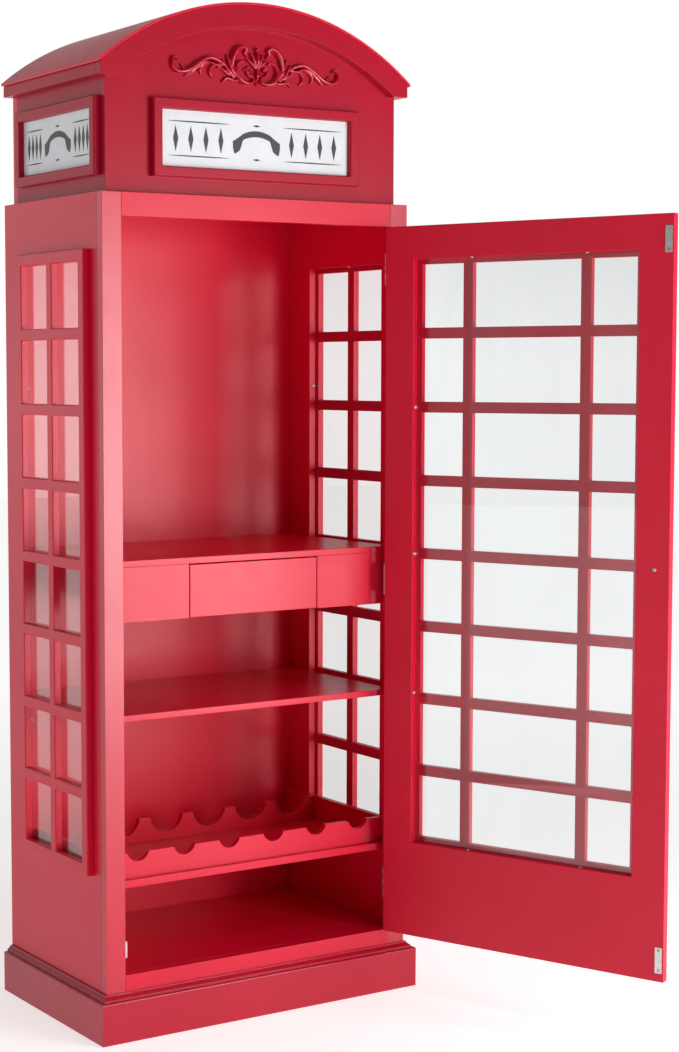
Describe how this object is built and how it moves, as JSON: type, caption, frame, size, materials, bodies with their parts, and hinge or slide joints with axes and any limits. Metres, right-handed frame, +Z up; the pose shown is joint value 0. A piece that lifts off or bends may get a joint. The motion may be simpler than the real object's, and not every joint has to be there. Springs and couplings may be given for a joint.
{
  "type": "bar cabinet shaped as a telephone booth",
  "caption": "Red lacquered bar cabinet in the shape of a classic telephone booth, with a glazed door, windowed sides, drawer, shelf and bottle rack.",
  "frame": {"origin": "on the floor, under the middle of the cabinet's body (without the plinth's overhang and the door)", "axes": "+X to the cabinet's right as seen from the front, +Y to its back, +Z up; the front faces -Y"},
  "size_m": [0.8891, 0.9476, 1.9004],
  "materials": {
    "red_lacquer": "satin lacquer on board",
    "clear_glass": "clear float glass",
    "white_plate": "white glossy plate",
    "nickel": "bright nickel plate",
    "catch_plastic": "white moulded plastic",
    "bare_wood": "bare softwood",
    "foot_plastic": "black moulded plastic"
  },
  "bodies": {
    "cabinet": {"plinth_front": "red_lacquer", "plinth_left": "red_lacquer", "plinth_right": "red_lacquer", "side_panel_left": "red_lacquer", "side_panel_right": "red_lacquer", "post_left": "red_lacquer", "post_right": "red_lacquer", "rail_top": "red_lacquer", "rail_bottom": "red_lacquer", "floor_panel": "red_lacquer", "ceiling_panel": "red_lacquer", "back_panel": "red_lacquer", "head_front": "red_lacquer", "head_back": "red_lacquer", "head_side_left": "red_lacquer", "head_side_right": "red_lacquer", "eave_left": "red_lacquer", "eave_right": "red_lacquer", "arch_fascia": "red_lacquer", "roof_sheet": "red_lacquer", "sign_frame_front": "red_lacquer", "sign_frame_left": "red_lacquer", "sign_frame_right": "red_lacquer", "sign_plates": "white_plate", "ornament": "red_lacquer", "window_lattice_left": "red_lacquer", "window_lattice_right": "red_lacquer", "window_glass_left": "clear_glass", "window_glass_right": "clear_glass", "window_glass_screws": "nickel", "shelf": "red_lacquer", "shelf_pins": "nickel", "rack_board": "red_lacquer", "rack_front_rail": "red_lacquer", "rack_back_rail": "red_lacquer", "rack_sides": "red_lacquer", "worktop": "red_lacquer", "apron_left": "red_lacquer", "apron_right": "red_lacquer", "drawer_runners": "red_lacquer", "hinge_frame_leaves": "nickel", "magnetic_catches": "catch_plastic", "foot_blocks": "bare_wood", "foot_front_left": "foot_plastic", "foot_back_left": "foot_plastic", "foot_front_right": "foot_plastic", "foot_back_right": "foot_plastic"},
    "door": {"door_board": "red_lacquer", "door_lattice": "red_lacquer", "door_glass": "clear_glass", "door_glass_screws": "nickel", "strike_plates": "nickel", "door_screws": "nickel", "door_knob": "nickel", "hinge_door_leaves": "nickel"},
    "drawer": {"drawer_front": "red_lacquer", "drawer_side_left": "red_lacquer", "drawer_side_right": "red_lacquer", "drawer_back": "red_lacquer", "drawer_bottom": "red_lacquer"}
  },
  "joints": [
    {"name": "door_hinge", "type": "hinge", "parent": "cabinet", "child": "door", "pos_m": [0.29575, -0.1985, 0.8115], "axis": [0, 0, 1], "range_deg": [-112.2, 62.8]},
    {"name": "drawer_slide", "type": "slide", "parent": "cabinet", "child": "drawer", "axis": [0, -1, 0], "range_m": [0, 0.019]}
  ]
}
